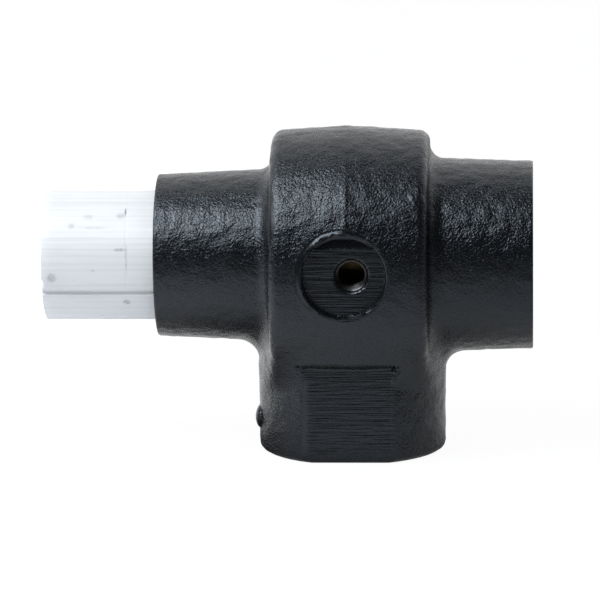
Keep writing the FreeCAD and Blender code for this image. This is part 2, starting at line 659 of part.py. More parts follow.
def make_pressure_piston(doc):
    """The piston: grooved skirt, spring cup, nose with the check spring's pocket, stem boss."""
    guide = ("guide_width / 2 + running_gap", "skirt_radius",
             "barrel_bore - guide_thickness - running_gap")
    seal = ("seal_groove * piston_seal_section", "skirt_radius",
            "barrel_bore - 2 * piston_seal_section - 2 * running_gap")
    turned(doc, "pressure_piston", (
        ("-piston_rear", "cup_radius + edge_chamfer"),
        ("-piston_rear", "skirt_radius - edge_chamfer"),
        ("edge_chamfer - piston_rear", "skirt_radius"),
        *groove("-skirt_front - rear_guide_place", *guide),
        *groove("-skirt_front - piston_seal_place", *seal),
        *groove("-skirt_front - front_guide_place", *guide),
        ("-skirt_front", "skirt_radius"),
        ("-skirt_front", "nose_radius"),
        ("nose_front - edge_chamfer", "nose_radius"),
        ("nose_front", "nose_radius - edge_chamfer"),
        ("nose_front", "pocket_radius"),
        ("-pocket_floor", "pocket_radius"),
        ("-pocket_floor", "stem_radius + free_gap"),
        ("-bush_front", "stem_radius + free_gap"),
        ("-bush_front", "bush_radius + press_gap"),
        ("-boss_end", "bush_radius + press_gap"),
        ("-boss_end", "boss_radius"),
        ("-cup_floor", "boss_radius"),
        ("-cup_floor", "cup_radius"),
        ("edge_chamfer - piston_rear", "cup_radius")))
    sleeve(doc, "stem_bush", "-boss_end", "-bush_front", "stem_radius + running_gap", "bush_radius")
    make_guide_ring(doc, "rear_guide_ring", "rear_guide_place")
    make_guide_ring(doc, "front_guide_ring", "front_guide_place")
    round_seal(doc, "piston_o_ring", "-skirt_front - piston_seal_place",
               "barrel_bore - piston_seal_section - running_gap", "piston_seal_section")


def make_check_plug(doc):
    """The check plug: a plate with a skirt, a stem through the piston, and its seal's pilot."""
    turned(doc, "check_plug", (
        ("-stem_end", "0"),
        ("-stem_end", "stem_radius - edge_chamfer"),
        ("edge_chamfer - stem_end", "stem_radius"),
        ("plug_boss_end", "stem_radius"),
        ("plug_boss_end", "plug_boss_radius"),
        ("plug_back", "plug_boss_radius"),
        ("plug_back", "plug_skirt_bore"),
        ("plug_skirt_end", "plug_skirt_bore"),
        ("plug_skirt_end", "plug_radius - edge_chamfer"),
        ("plug_skirt_end + edge_chamfer", "plug_radius"),
        ("plug_front - edge_chamfer", "plug_radius"),
        ("plug_front", "plug_radius - edge_chamfer"),
        ("plug_front", "pilot_radius"),
        ("seal_front", "pilot_radius"),
        ("seal_front", "screw_hole"),
        ("screw_hole_end", "screw_hole"),
        ("screw_hole_end", "0")))


def make_seal_stack(doc):
    """The seat seal with its retainer, lock washer and screw."""
    sleeve(doc, "seat_seal", "plug_front", "seal_front", "pilot_radius + press_gap", "seal_radius")
    sleeve(doc, "seal_retainer", "seal_front", "retainer_front", "screw_radius + free_gap",
           "retainer_radius")
    sleeve(doc, "lock_washer", "retainer_front", "lock_front", "screw_radius + free_gap", "lock_radius")
    body = turned(doc, "retainer_screw", (
        ("screw_hole_end + edge_chamfer", "0"),
        ("screw_hole_end + edge_chamfer", "screw_radius - edge_chamfer"),
        ("screw_hole_end + 2 * edge_chamfer", "screw_radius"),
        ("lock_front", "screw_radius"),
        ("lock_front", "screw_head_radius"),
        ("screw_head_front - edge_chamfer", "screw_head_radius"),
        ("screw_head_front", "screw_head_radius - edge_chamfer"),
        ("screw_head_front", "0")))
    sketch = add_sketch(body, "key_sketch", "YZ_Plane", "screw_head_front")
    corner = "key_size / 2 / cos(30 deg) * "
    add_outline(sketch, [(corner + "cos({} deg)".format(turn), corner + "sin({} deg)".format(turn))
                         for turn in range(0, 360, 60)])
    pocket(body, "key_socket", sketch, "key_depth")


NODES = (
    "valve_body", "seat_ring", "seat_o_ring", "spring_barrel", "barrel_o_ring", "retaining_ring",
    "spring_cap", "preload_shim", "main_spring", "spring_seat_washer", "pressure_piston", "stem_bush",
    "rear_guide_ring", "front_guide_ring", "piston_o_ring", "check_plug", "check_spring", "seat_seal",
    "seal_retainer", "lock_washer", "retainer_screw")


def write_parts(doc):
    """Check every object and every piece, then write one file per piece."""
    for item in doc.Objects:
        if "Invalid" in item.State or "Error" in item.State:
            raise RuntimeError("{} failed: {}".format(item.Name, item.State))
    shapes = {}
    for name in NODES:
        found = doc.getObjectsByLabel(name)
        if len(found) != 1:
            raise RuntimeError("{} objects are called {}".format(len(found), name))
        shape = found[0].Shape
        if shape.isNull() or not shape.isValid() or shape.Volume <= 0:
            raise RuntimeError("the shape of {} is not sound".format(name))
        shapes[name] = shape
    os.makedirs("parts", exist_ok=True)
    for name, shape in shapes.items():
        shape.exportStep(os.path.join("parts", name + ".step"))
        print("{:20s} {} solid, {:10.1f} mm3".format(name, len(shape.Solids), shape.Volume))


def main():
    doc = FreeCAD.newDocument("minimum_pressure_valve")
    make_sheet(doc)
    make_valve_body(doc)
    make_seat_ring(doc)
    make_spring_barrel(doc)
    make_retaining_ring(doc)
    make_spring_cap(doc)
    make_springs(doc)
    make_pressure_piston(doc)
    make_check_plug(doc)
    make_seal_stack(doc)
    doc.recompute()
    write_parts(doc)


main()
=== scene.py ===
import json
import math

import bmesh
import bpy
import numpy as np
from bpy.props import FloatProperty, FloatVectorProperty, PointerProperty
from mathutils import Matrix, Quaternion, Vector, noise


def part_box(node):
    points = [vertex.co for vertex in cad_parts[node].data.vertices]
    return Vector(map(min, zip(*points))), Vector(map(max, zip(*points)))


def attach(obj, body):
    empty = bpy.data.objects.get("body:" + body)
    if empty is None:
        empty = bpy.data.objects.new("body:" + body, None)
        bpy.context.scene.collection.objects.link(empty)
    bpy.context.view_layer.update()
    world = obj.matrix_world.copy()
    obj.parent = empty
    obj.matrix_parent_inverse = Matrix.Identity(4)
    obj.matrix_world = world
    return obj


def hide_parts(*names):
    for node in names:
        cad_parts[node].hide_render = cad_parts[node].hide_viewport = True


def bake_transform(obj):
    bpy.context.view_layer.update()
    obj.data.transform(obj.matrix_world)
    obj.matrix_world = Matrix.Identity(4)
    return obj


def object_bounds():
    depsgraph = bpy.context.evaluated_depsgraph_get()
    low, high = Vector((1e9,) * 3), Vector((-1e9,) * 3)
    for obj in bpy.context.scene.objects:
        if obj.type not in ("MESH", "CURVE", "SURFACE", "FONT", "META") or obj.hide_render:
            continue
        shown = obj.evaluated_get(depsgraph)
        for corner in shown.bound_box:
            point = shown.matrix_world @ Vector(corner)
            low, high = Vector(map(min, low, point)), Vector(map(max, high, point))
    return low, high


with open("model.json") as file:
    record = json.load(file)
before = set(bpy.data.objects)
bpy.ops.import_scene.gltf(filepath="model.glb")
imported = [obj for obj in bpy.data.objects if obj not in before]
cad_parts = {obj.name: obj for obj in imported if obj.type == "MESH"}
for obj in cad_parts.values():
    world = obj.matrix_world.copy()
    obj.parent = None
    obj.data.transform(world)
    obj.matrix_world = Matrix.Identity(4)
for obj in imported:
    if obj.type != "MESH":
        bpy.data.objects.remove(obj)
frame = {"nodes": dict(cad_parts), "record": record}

bl_info = {
    "name": "Minimum pressure valve",
    "version": (1, 0, 0),
    "blender": (4, 5, 0),
    "location": "View3D > Sidebar > Valve",
    "description": "Dresses a minimum pressure valve: casting, spring barrel, inner pieces and stage",
    "category": "Object",
}

CAD_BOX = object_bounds()
MOUNTS = {mount["name"]: mount for mount in frame["record"]["mounts"]}
NODES = frame["nodes"]
ROOT = "valve"
PLUG = "check_plug_group"
PISTON = "piston_group"

# Sizes are in metres. The piston's axis runs along X at the height AXIS_Z, and Z is the hub's axis.
AXIS_Z = MOUNTS["inlet_port"]["pos_m"][2]
LEFT_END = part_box("valve_body")[0][0]
RIGHT_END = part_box("valve_body")[1][0]

# The drum. Its rim slopes down both ways from the line where the mould's halves met.
DRUM_RADIUS = 0.051
DRUM_HALF = 0.0309
DRUM_DRAFT = math.radians(3.5)
DRUM_ROUND = 0.0042
PARTING_X = -0.0003
# The mould's right half sat this much lower, over a short slope.
PARTING_STEP = 0.0002
PARTING_SLOPE = 0.0006
# A burr on the drum's right side: place in X and Z, half length, half width, height, and its lean.
BURR_PLACE = (0.0251, 0.0292)
BURR_HALVES = (0.0018, 0.0005)
BURR_HEIGHT = 0.00034
BURR_LEAN = 0.42
# A smooth patch on the drum's left shoulder, where paint ran together: place and reach in X and Z,
# and the share of its reach that is wholly smooth.
RUN_PLACE = (-0.0299, 0.0215)
RUN_REACH = (0.0026, 0.0100)
RUN_CORE = 0.6

# The necks: radius at the end and at the drum.
LEFT_RADII = (0.0319, 0.0340)
RIGHT_RADII = (0.03685, 0.0382)
NECK_EDGE = 0.0006
NECK_FILLET = 0.0056

# The hub, its foot, its milled wrench flats and the small cast lug on its left side.
HUB_RADIUS = 0.0369
HUB_FILLET = 0.0080
HUB_EDGE = 0.0012
FOOT_ROUND = 0.0026
FLAT_HALF = 0.0325
FLAT_TOP = 0.0386
FLAT_REACH = 0.0169
FLAT_X = -0.0006
LUG = (-0.0360, -0.004, 0.0128)
LUG_SIZE = (0.0024, 0.006, 0.0048)

# The gauge port, its boss inside the drum, and the spotface round it.
GAUGE_X = MOUNTS["gauge_port"]["pos_m"][0]
GAUGE_RADIUS = MOUNTS["gauge_port"]["dims"]["r_mm"] / 1000
GAUGE_FACE = -0.0453
GAUGE_LEAD = 0.0007
BOSS_RADIUS = 0.012
BOSS_END = -0.031
DRILL_END = -0.030
SPOT_X = -0.0013
SPOT_RADIUS = 0.0159
SPOT_RIM = 0.0013
SPOT_CHORD = 0.0108
SPOT_TILT = 0.15
# The paint's lip outside the rim: height, half width, distance from the rim, and how far it smooths.
LIP_HEIGHT = 0.00036
LIP_HALF = 0.0007
LIP_OUT = 0.0010
LIP_REACH = 0.0012
# Where the lip lies, seen from the spotface's middle, along X and Z.
LIP_SIDE = (-1.3, 0.7)
# The drum's front and the spotface lie in front of these, towards -Y.
FRONT_Y = -0.02
SPOT_Y = -0.03

# The skin. Milling shows within this distance of a machined face, and a little past the rim.
MILLED_FADE = 0.0004
MILLED_SLACK = 0.0002
# The wrench flats show none of it this near to the foot.
FOOT_BAND = 0.0025
# Thick paint fades out over this, and goes this far above the flats.
SMOOTH_FADE = 0.0005
SMOOTH_TOP = 0.004
# The gauge hole is painted this deep, and what is this near to a bore's wall is bare.
PAINTED_DEPTH = 0.003
BARE_REACH = 0.0003
# Size of the broad and the fine lumps in the cast skin.
BROAD_SWELL = 0.0052
FINE_SWELL = 0.0026

# The cavities.
NECK_BORE = 0.02545
CHAMBER_RADIUS = 0.043
CHAMBER_HALF = 0.024
CHAMBER_ROUND = 0.004
SEAT_BORE = 0.02522
SEAT_SHOULDER = 0.034
PASSAGE_RADIUS = 0.0215
PORT_RADIUS = MOUNTS["inlet_port"]["dims"]["r_mm"] / 1000
PORT_DEPTH = 0.022
PORT_LEAD = 0.0015

# Threads: pitch and depth, for the pipes and for the gauge.
PIPE_THREAD = (0.00221, 0.0015)
GAUGE_THREAD = (0.00141, 0.0009)
# A pipe's thread starts this far behind its lead and stops this far before the bore's floor.
THREAD_START = 0.001
THREAD_RUNOUT = 0.002
# Where the gauge port's thread starts and stops along Y.
GAUGE_THREAD_ENDS = (GAUGE_FACE + GAUGE_LEAD + 0.0005, BOSS_END - 0.001)

# The barrel and its grooves for the clip and the seal.
BARREL_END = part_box("spring_barrel")[0][0]
BARREL_INNER_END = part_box("spring_barrel")[1][0]
BARREL_RADIUS = 0.0254
BARREL_BORE = 0.0215
BARREL_OUTER_BORE = 0.020
BARREL_EDGE = 0.0008
BARREL_STEP = 0.004
BARREL_SIDES = 180
STOP_X = -0.082
CLIP_GROOVE = (-0.1125, -0.11065)
CLIP_FLOOR = 0.0212
SEAL_GROOVE = (-0.03308, -0.03092)
SEAL_FLOOR = 0.0236
# The fine ring scribed round it: place, half width, half width with the rows beside it, and depth.
SCRIBE_X = -0.0870
SCRIBE_HALF = 0.0003
SCRIBE_REACH = 0.0007
SCRIBE_DEPTH = 0.00006
# The vent groove runs along it, 25 degrees below the front. Angles run from +Y up over +Z.
VENT_RADIUS = 0.0012
VENT_END = -0.040
VENT_ANGLE = math.pi + math.radians(25)
VENT_HALF = math.asin(VENT_RADIUS / BARREL_RADIUS)
VENT_SHARES = (-1.2, -1.0, -0.92, -0.7, -0.35, 0, 0.35, 0.7, 0.92, 1.0, 1.2)
# The sawn rim wavers a little and has a chip just above the groove.
RIM_REACH = 0.003
RIM_WAVER = 0.00008
CHIP_ANGLE = 0.145
CHIP_HALF = 0.06
CHIP_DEPTH = 0.0009
# Dark spots on the barrel, smudges and the painted shade of dents: place, reach along X, Y and Z, and
# strength.
BARREL_MARKS = (
    ((-0.0875, -0.0157, 0.0967), (0.0005, 0.0040, 0.0016), 0.85),
    ((-0.0893, -0.0173, 0.0954), (0.0022, 0.0040, 0.0014), 0.35),
    ((-0.0868, -0.0245, 0.0800), (0.0006, 0.0060, 0.0080), 0.30),
    ((-0.0892, -0.0246, 0.0833), (0.0032, 0.0040, 0.0009), 0.45),
    ((-0.1085, -0.0203, 0.0920), (0.0016, 0.0040, 0.0014), 0.30),
    ((-0.1020, -0.0176, 0.0951), (0.0030, 0.0040, 0.0011), 0.22),
    ((-0.1002, -0.0208, 0.0913), (0.0060, 0.0040, 0.0006), 0.22),
    ((-0.1162, -0.0250, 0.0723), (0.0024, 0.0040, 0.0024), 0.42),
    ((-0.0871, -0.0206, 0.0619), (0.0018, 0.0040, 0.0016), 0.50))

# The springs: left end, right end, mean radius, wire radius, turns, and closed turns at each end.
MAIN_SPRING = (-0.10425, -0.0155, 0.0135, 0.0025, 10, 1)
CHECK_SPRING = (-0.006, 0.008, 0.0085, 0.0006, 5, 0.75)
WIRE_SIDES = 20

# The stage: what the camera looks at, and how far the floor comes forward.
TARGET = Vector((-0.0205, 0, 0.0586))
FLOOR_HALF = 3.0
FLOOR_FRONT = -0.47
# The softboxes: width, height, and azimuth and elevation in degrees.
FRONT_LAMP = (0.8, 0.8, -43, 52)
LEFT_LAMP = (0.8, 1.0, -76, 42)
LAMP_DISTANCE = 1.3
LAMP_COLOUR = (0.94, 0.98, 1.0)
SENSOR_WIDTH = 36


def length(*values):
    """Length of a vector given as arrays."""
    return np.sqrt(sum(value * value for value in values))


def round_union(a, b, radius):
    """Distance to two joined solids with a fillet of that radius between them."""
    u = np.maximum(radius - a, 0)
    v = np.maximum(radius - b, 0)
    return np.maximum(radius, np.minimum(a, b)) - length(u, v)


def round_overlap(a, b, radius):
    """Distance to what two solids share, with its outer edge rounded to that radius."""
    u = np.maximum(radius + a, 0)
    v = np.maximum(radius + b, 0)
    return np.minimum(-radius, np.maximum(a, b)) + length(u, v)


def neck_distance(x, radial, end, end_radius, root_radius):
    """A drafted neck from the drum to its end face."""
    slope = (root_radius - end_radius) / (abs(end) - DRUM_HALF)
    wall = radial - (end_radius + slope * (abs(end) - np.abs(x)))
    side = math.copysign(1.0, end)
    wall = wall * math.cos(math.atan(slope))
    inside = round_overlap(wall, side * x - abs(end), NECK_EDGE)
    return np.maximum(inside, -side * x)


def lip_share(x, z):
    """One to the left of the spotface's middle and a little above, nothing to its right."""
    away = np.maximum(length(x - SPOT_X, z), 1e-6)
    return np.clip((LIP_SIDE[0] * (x - SPOT_X) + LIP_SIDE[1] * z) / away, 0, 1)


def cast_marks(x, y, z):
    """Height of the paint's lip beside the spotface and of the burr on the drum's right side."""
    ring = (length(x - SPOT_X, z) - SPOT_RADIUS - LIP_OUT) / LIP_HALF
    lip = LIP_HEIGHT * lip_share(x, z) * np.exp(-ring * ring)
    right = x - BURR_PLACE[0]
    up = z - BURR_PLACE[1]
    along = (right * math.sin(BURR_LEAN) - up * math.cos(BURR_LEAN)) / BURR_HALVES[0]
    across = (right * math.cos(BURR_LEAN) + up * math.sin(BURR_LEAN)) / BURR_HALVES[1]
    burr = BURR_HEIGHT * np.exp(-along * along - across * across)
    return np.where(y < FRONT_Y, lip + burr, 0.0)


def drum_distance(x, y, z, radial):
    """The drum, with its parting step and the marks on its front."""
    rim = (radial - DRUM_RADIUS + np.abs(x - PARTING_X) * math.tan(DRUM_DRAFT)) * math.cos(DRUM_DRAFT)
    step = PARTING_STEP * np.clip((x - PARTING_X) / PARTING_SLOPE + 0.5, 0, 1)
    return round_overlap(rim + step - cast_marks(x, y, z), np.abs(x) - DRUM_HALF, DRUM_ROUND)


def outer_distance(x, y, z):
    """The casting's outside: drum and necks about the piston's axis, and the hub below."""
    radial = length(y, z)
    left = neck_distance(x, radial, LEFT_END, *LEFT_RADII)
    right = neck_distance(x, radial, RIGHT_END, *RIGHT_RADII)
    turned = round_union(drum_distance(x, y, z, radial), np.minimum(left, right), NECK_FILLET)
    hub = np.maximum(round_overlap(length(x, y) - HUB_RADIUS, -z - AXIS_Z, FOOT_ROUND), z)
    raw = round_union(turned, hub, HUB_FILLET)
    # The wrench flats are milled after casting, up to a line just below the drum's bulge.
    beside = np.abs(x - FLAT_X) - FLAT_REACH
    milled = np.maximum(np.maximum(FLAT_HALF - np.abs(y), z + FLAT_TOP), beside)
    return round_overlap(raw, -milled, HUB_EDGE)


def bore_distance(x, y, z):
    """The cavities: spring neck's bore, chamber, seat bore, inlet and outlet."""
    radial = length(y, z)
    neck = np.maximum(radial - NECK_BORE, x)
    chamber = round_overlap(radial - CHAMBER_RADIUS, np.abs(x) - CHAMBER_HALF, CHAMBER_ROUND)
    seat = np.maximum(radial - SEAT_BORE, np.maximum(x - SEAT_SHOULDER, -x))
    passage = np.maximum(radial - PASSAGE_RADIUS, -x)
    thread = np.maximum(radial - PORT_RADIUS, RIGHT_END - PORT_DEPTH - x)
    lead = radial - PORT_RADIUS - PORT_LEAD - (x - RIGHT_END)
    left_lead = radial - NECK_BORE - PORT_LEAD + (x - LEFT_END)
    along = np.minimum(np.minimum(neck, chamber), np.minimum(seat, passage))
    along = np.minimum(along, np.minimum(thread, np.minimum(lead, left_lead) * math.sqrt(0.5)))
    across = length(x, y)
    height = z + AXIS_Z
    outlet = np.maximum(across - PASSAGE_RADIUS, z)
    outlet_thread = np.maximum(across - PORT_RADIUS, height - PORT_DEPTH)
    outlet_lead = (across - PORT_RADIUS - PORT_LEAD + height) * math.sqrt(0.5)
    down = np.minimum(outlet, np.minimum(outlet_thread, outlet_lead))
    return np.minimum(along, down)


def gauge_distance(x, y, z):
    """The gauge port's hole, with its lead, and the spotface cut into the drum."""
    hole = length(x - GAUGE_X, z)
    lead = (hole - GAUGE_RADIUS - GAUGE_LEAD - (GAUGE_FACE - y)) * math.sqrt(0.5)
    drilled = np.maximum(np.minimum(hole - GAUGE_RADIUS, lead), y - DRILL_END)
    # Above a chord the cutter has left the face leaning back a little.
    floor = y - GAUGE_FACE - SPOT_TILT * np.maximum(z - SPOT_CHORD, 0)
    spot = np.maximum(length(x - SPOT_X, z) - SPOT_RADIUS, floor)
    return drilled, spot


def lug_distance(x, y, z):
    """The small cast lug on the hub's left side."""
    right = (x - LUG[0]) / LUG_SIZE[0]
    back = (y - LUG[1]) / LUG_SIZE[1]
    up = (z + AXIS_Z - LUG[2]) / LUG_SIZE[2]
    return (length(right, back, up) - 1) * LUG_SIZE[0]


def columns(points):
    """The columns of an array of points, with Z counted from the piston's axis."""
    return points[:, 0], points[:, 1], points[:, 2] - AXIS_Z


def casting_distance(points):
    """Signed distance to the casting's surface for an array of points."""
    x, y, z = columns(points)
    boss = np.maximum(length(x - GAUGE_X, z) - BOSS_RADIUS, np.maximum(y - BOSS_END, -y + GAUGE_FACE))
    hollow = np.maximum(bore_distance(x, y, z), -boss)
    drilled, spot = gauge_distance(x, y, z)
    skin = round_overlap(outer_distance(x, y, z), -spot, SPOT_RIM)
    skin = np.minimum(skin, lug_distance(x, y, z))
    return np.maximum(np.maximum(skin, -hollow), -drilled)


def gradient(points, step=2e-5):
    """Direction in which the casting's distance grows."""
    slopes = []
    for axis in range(3):
        shift = np.zeros(3)
        shift[axis] = step
        slopes.append(casting_distance(points + shift) - casting_distance(points - shift))
    return np.stack(slopes, axis=1) / (2 * step)


def settle(points, turns=5):
    """Points moved onto the casting's surface."""
    for _ in range(turns):
        slope = gradient(points)
        size = np.maximum((slope * slope).sum(axis=1), 0.25)
        points = points - slope * (casting_distance(points) / size)[:, None]
    return points


def read_points(mesh):
    """A mesh's vertices as an array."""
    flat = np.empty(len(mesh.vertices) * 3)
    mesh.vertices.foreach_get("co", flat)
    return flat.reshape(-1, 3)


def write_points(mesh, points):
    """Put an array back into a mesh's vertices."""
    mesh.vertices.foreach_set("co", points.astype(np.float32).ravel())
    mesh.update()


def add_object(name, data):
    """A new object at the origin that holds a mesh, a lamp or a camera."""
    piece = bpy.data.objects.new(name, data)
    bpy.context.scene.collection.objects.link(piece)
    return piece


def remeshed_copy(node, name, voxel):
    """An even mesh of a CAD node's shape."""
    piece = add_object(name, NODES[node].data.copy())
    piece.matrix_world = NODES[node].matrix_world.copy()
    modifier = piece.modifiers.new("even", "REMESH")
    modifier.mode = "VOXEL"
    modifier.voxel_size = voxel
    bpy.context.view_layer.update()
    even = bpy.data.meshes.new_from_object(piece.evaluated_get(bpy.context.evaluated_depsgraph_get()))
    piece.modifiers.clear()
    piece.data = even
    even.name = name
    return piece


def milled_share(points):
    """How far each point belongs to a machined face under the paint, from 0 to 1."""
    x, y, z = columns(points)
    height = points[:, 2]
    inside = length(x - SPOT_X, z) < SPOT_RADIUS + MILLED_SLACK
    level = inside & (z < SPOT_CHORD) & (y < SPOT_Y)
    spot = np.where(level, np.abs(y - GAUGE_FACE), 1.0)
    flats = np.where((height > FOOT_BAND) & (z < -FLAT_TOP), np.abs(np.abs(y) - FLAT_HALF), 1.0)
    ends = np.minimum(np.abs(x - LEFT_END), np.abs(x - RIGHT_END))
    away = np.minimum(np.minimum(spot, flats), np.minimum(ends, height))
    return 1 - np.clip(away / MILLED_FADE, 0, 1)


def smooth_share(points):
    """Where thick paint hides the grain: round the spotface, at the flats, on the left shoulder."""
    x, y, z = columns(points)
    out = length(x - SPOT_X, z) - SPOT_RADIUS - SPOT_RIM - LIP_REACH * lip_share(x, z)
    spot = np.where(y < SPOT_Y, out, 1.0)
    edge = length(np.abs(x - FLAT_X) - FLAT_REACH, np.abs(y) - FLAT_HALF) - HUB_EDGE
    edge = np.where(z < SMOOTH_TOP - FLAT_TOP, edge, 1.0)
    run = length((x - RUN_PLACE[0]) / RUN_REACH[0], (z - RUN_PLACE[1]) / RUN_REACH[1])
    run = np.where(y < FRONT_Y, (run - RUN_CORE) / (1 - RUN_CORE), 1.0)
    return 1 - np.clip(np.minimum(np.minimum(spot, edge) / SMOOTH_FADE, run), 0, 1)


def bore_share(points):
    """Whether each point lies on a bare, unpainted inside."""
    x, y, z = columns(points)
    drilled, _ = gauge_distance(x, y, z)
    drilled = np.where(y < GAUGE_FACE + PAINTED_DEPTH, 1.0, drilled)
    return (np.minimum(bore_distance(x, y, z), drilled) < BARE_REACH).astype(float)


def grain(points, size, seed):
    """Smooth noise between about -1 and 1 with lumps of that size."""
    shift = Vector((seed * 7.1, seed * 3.7, seed * 5.3))
    scale = 1 / size
    return np.array([noise.noise(Vector(point) * scale + shift) for point in points]) * 1.6


def set_attribute(mesh, name, values):
    """Store one number per vertex under that name."""
    mesh.attributes.new(name, "FLOAT", "POINT").data.foreach_set("value", values.astype(np.float32))


def finish_mesh(piece, angle):
    """Smooth shading that stays crisp at edges steeper than the angle in degrees."""
    piece.data.polygons.foreach_set("use_smooth", [True] * len(piece.data.polygons))
    piece.data.set_sharp_from_angle(angle=math.radians(angle))
    piece.data.update()
    return piece


def bridge(piece, rings):
    """Faces between each ring of vertices and the next."""
    for ring, after in zip(rings, rings[1:]):
        for i, corner in enumerate(ring):
            j = (i + 1) % len(ring)
            piece.faces.new((corner, ring[j], after[j], after[i]))


def to_object(name, piece):
    """An object from a bmesh, which is freed."""
    mesh = bpy.data.meshes.new(name)
    piece.to_mesh(mesh)
    piece.free()
    return add_object(name, mesh)


def solid(name, piece, rings, caps=True):
    """An object from a bmesh whose rings are joined, with its ends closed and its faces outwards."""
    bridge(piece, rings)
    if caps:
        piece.faces.new(rings[0])
        piece.faces.new(rings[-1])
    bmesh.ops.recalc_face_normals(piece, faces=piece.faces)
    return to_object(name, piece)


def lathe(name, outline, angles, reshape):
    """A closed outline of (x, radius) turned about the piston's axis.

    reshape(x, radius, angle) gives the x and radius that a point has at that angle."""
    piece = bmesh.new()
    rings = []
    for place in outline:
        ring = []
        for angle in angles:
            x, radius = reshape(*place, angle)
            ring.append(piece.verts.new((x, radius * math.cos(angle), AXIS_Z + radius * math.sin(angle))))
        rings.append(ring)
    return solid(name, piece, rings + rings[:1], caps=False)


def divided(outline, step):
    """The outline with long runs along X cut into pieces of at most step."""
    result = []
    for i, (x, radius) in enumerate(outline):
        following = outline[(i + 1) % len(outline)]
        parts = max(1, math.ceil(abs(following[0] - x) / step))
        for part in range(parts):
            share = part / parts
            result.append((x + (following[0] - x) * share, radius + (following[1] - radius) * share))
    return result


def barrel_outline():
    """The barrel's section: its outside from left to right, then back along its bore."""
    edge = BARREL_EDGE
    wall = BARREL_RADIUS
    mouth = BARREL_OUTER_BORE
    left = BARREL_END
    right = BARREL_INNER_END
    return [(left, mouth + edge), (left, wall - edge * 0.5),
            (left + edge * 0.15, wall - edge * 0.15), (left + edge * 0.5, wall),
            (SCRIBE_X - SCRIBE_REACH, wall), (SCRIBE_X - SCRIBE_HALF, wall),
            (SCRIBE_X, wall - SCRIBE_DEPTH),
            (SCRIBE_X + SCRIBE_HALF, wall), (SCRIBE_X + SCRIBE_REACH, wall),
            (SEAL_GROOVE[0], wall), (SEAL_GROOVE[0], SEAL_FLOOR),
            (SEAL_GROOVE[1], SEAL_FLOOR), (SEAL_GROOVE[1], wall),
            (right - edge, wall), (right, wall - edge),
            (right, BARREL_BORE + edge), (right - edge, BARREL_BORE),
            (STOP_X, BARREL_BORE), (STOP_X, mouth),
            (CLIP_GROOVE[1], mouth), (CLIP_GROOVE[1], CLIP_FLOOR),
            (CLIP_GROOVE[0], CLIP_FLOOR), (CLIP_GROOVE[0], mouth),
            (left + edge, mouth)]


def barrel_angles():
    """Even angles round the barrel, closer together in the vent groove."""
    angles = [math.tau * i / BARREL_SIDES for i in range(BARREL_SIDES)]
    angles = [angle for angle in angles if abs(angle - VENT_ANGLE) > VENT_HALF * 1.3]
    angles += [VENT_ANGLE + VENT_HALF * share for share in VENT_SHARES]
    return sorted(angles)


def barrel_shape(x, radius, angle):
    """A place on the turned barrel after the vent groove is cut and its rim is sawn off."""
    turn = angle - VENT_ANGLE
    # It keeps just inside the groove's edge, where rounding could turn the root's value negative.
    if radius > SEAL_FLOOR and x < VENT_END and abs(turn) < VENT_HALF * 0.999:
        away = BARREL_RADIUS * math.sin(turn)
        depth = math.sqrt(VENT_RADIUS * VENT_RADIUS - away * away)
        radius = min(radius, BARREL_RADIUS * math.cos(turn) - depth)
    if x < BARREL_END + RIM_REACH and radius > BARREL_OUTER_BORE + BARREL_EDGE:
        chip = CHIP_DEPTH * math.exp(-((turn + CHIP_ANGLE) / CHIP_HALF) ** 4)
        x += chip + RIM_WAVER * (1 + math.sin(3 * angle + 1.0))
    return x, radius


def tube(name, line, radius, sides):
    """A round wire along a line of points, with flat ends."""
    points = np.array(line)
    tangents = np.gradient(points, axis=0)
    tangents /= np.linalg.norm(tangents, axis=1)[:, None]
    piece = bmesh.new()
    rings = []
    for point, tangent in zip(points, tangents):
        outward = np.array((0.0, point[1], point[2] - AXIS_Z))
        outward -= tangent * outward.dot(tangent)
        outward /= np.linalg.norm(outward)
        sideways = np.cross(tangent, outward)
        ring = []
        for i in range(sides):
            turn = math.tau * i / sides
            away = outward * math.cos(turn) + sideways * math.sin(turn)
            ring.append(piece.verts.new(point + radius * away))
        rings.append(ring)
    return solid(name, piece, rings)


def coil_line(left, right, mean, wire, turns, closed, steps=72):
    """The line of a spring whose first and last turns lie closed; steps are points per turn."""
    line = []
    flat = 2 * wire * closed
    room = right - left - 2 * wire - 2 * flat
    open_turns = turns - 2 * closed
    for i in range(turns * steps + 1):
        turn = i / steps
        if turn < closed:
            x = flat * turn / closed
        elif turn > turns - closed:
            x = flat + room + flat * (turn - turns + closed) / closed
        else:
            x = flat + room * (turn - closed) / open_turns
        angle = math.tau * turn
        line.append((left + wire + x, mean * math.cos(angle), AXIS_Z + mean * math.sin(angle)))
    return line


def ground(piece, left, right):
    """Flatten a spring's ends as a grinding wheel does."""
    points = read_points(piece.data)
    points[:, 0] = np.clip(points[:, 0], left, right)
    write_points(piece.data, points)


